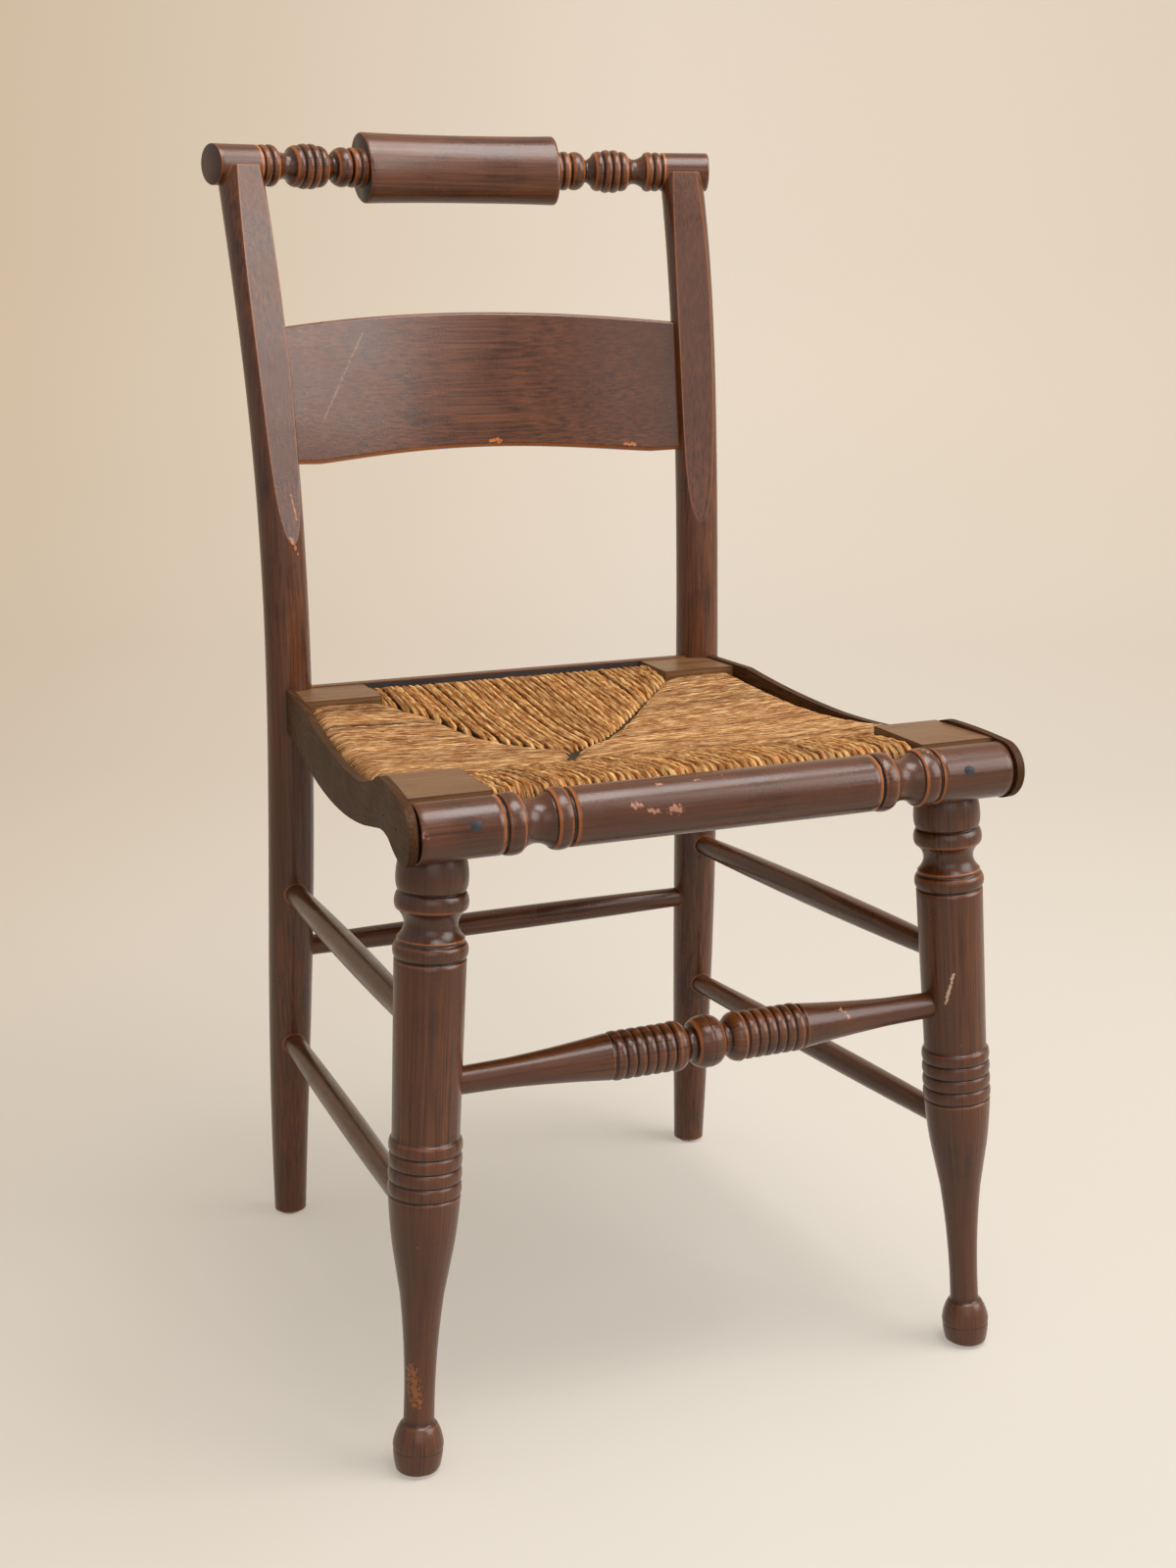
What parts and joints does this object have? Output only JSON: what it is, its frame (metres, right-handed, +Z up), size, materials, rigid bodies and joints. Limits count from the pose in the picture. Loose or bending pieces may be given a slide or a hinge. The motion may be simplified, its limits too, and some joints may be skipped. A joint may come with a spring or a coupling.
{
  "type": "side chair",
  "caption": "Wooden side chair with a turned pillow crest rail, one bent slat, a woven rush seat with thin casings, ringed front legs and turned stretchers.",
  "frame": {"origin": "on the floor, under the middle of the chair's outer box", "axes": "+Z up, -Y towards the front of the chair, +X to the right of someone who looks at its front"},
  "size_m": [0.4584, 0.5238, 0.8682],
  "materials": {
    "red_brown_wood": "dark red-brown painted wood under an old satin varnish, worn on the edges",
    "olive_wood": "olive-brown varnished wood with fine streaks",
    "bare_wood": "bare pale wood",
    "rush": "aged golden rush with a dull sheen",
    "glide_steel": "pale worn metal",
    "screw_steel": "blue-grey oxidised steel"
  },
  "bodies": {
    "root": {"front_leg_left": "red_brown_wood", "front_leg_right": "red_brown_wood", "rear_post_left": "red_brown_wood", "rear_post_right": "red_brown_wood", "crest_rail": "red_brown_wood", "back_slat": "red_brown_wood", "front_roll": "red_brown_wood", "front_stretcher": "red_brown_wood", "rear_stretcher": "red_brown_wood", "side_stretcher_upper_left": "red_brown_wood", "side_stretcher_upper_right": "red_brown_wood", "side_stretcher_lower_left": "red_brown_wood", "side_stretcher_lower_right": "red_brown_wood", "side_casing_left": "olive_wood", "side_casing_right": "olive_wood", "rear_casing": "olive_wood", "corner_block_front_left": "olive_wood", "corner_block_front_right": "olive_wood", "corner_block_rear_left": "olive_wood", "corner_block_rear_right": "olive_wood", "seat_list_front": "bare_wood", "seat_list_rear": "bare_wood", "seat_list_left": "bare_wood", "seat_list_right": "bare_wood", "post_dowels": "bare_wood", "rush_seat": "rush", "foot_glides": "glide_steel", "roll_screws": "screw_steel", "casing_brads": "screw_steel"}
  },
  "joints": []
}
